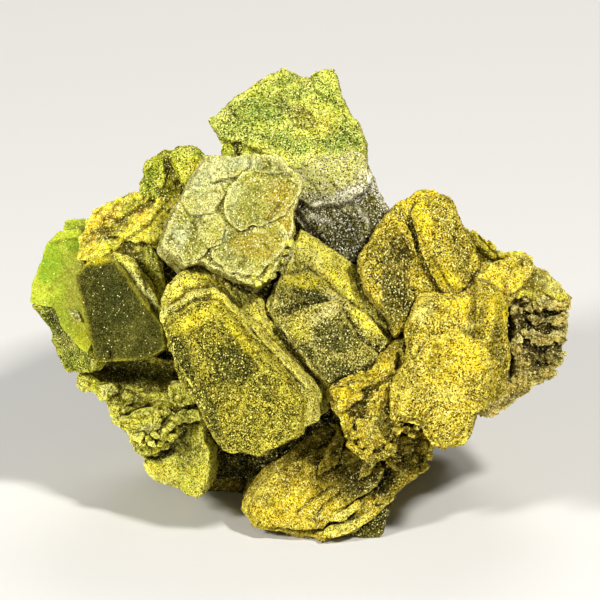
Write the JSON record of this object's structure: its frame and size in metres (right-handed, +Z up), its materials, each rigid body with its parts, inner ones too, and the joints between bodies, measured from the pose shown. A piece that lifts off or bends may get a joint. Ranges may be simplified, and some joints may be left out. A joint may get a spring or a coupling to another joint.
{
  "type": "heulandite crystal specimen",
  "caption": "Cluster of blocky yellow-green crystals with layered sides and sugary faces, grown through each other and flat underneath to stand on a shelf.",
  "frame": {"origin": "on the flat underside, under the middle of the specimen's width, where it rests", "axes": "+Z up, +X to the right across the widest side, and the show side looks along -Y and a little up"},
  "size_m": [0.06, 0.0433, 0.0456],
  "materials": {
    "heulandite": "sugary grained stone, yellow-green, slightly glossy on the grains"
  },
  "bodies": {
    "root": {"crystal_cluster": "heulandite"}
  },
  "joints": []
}
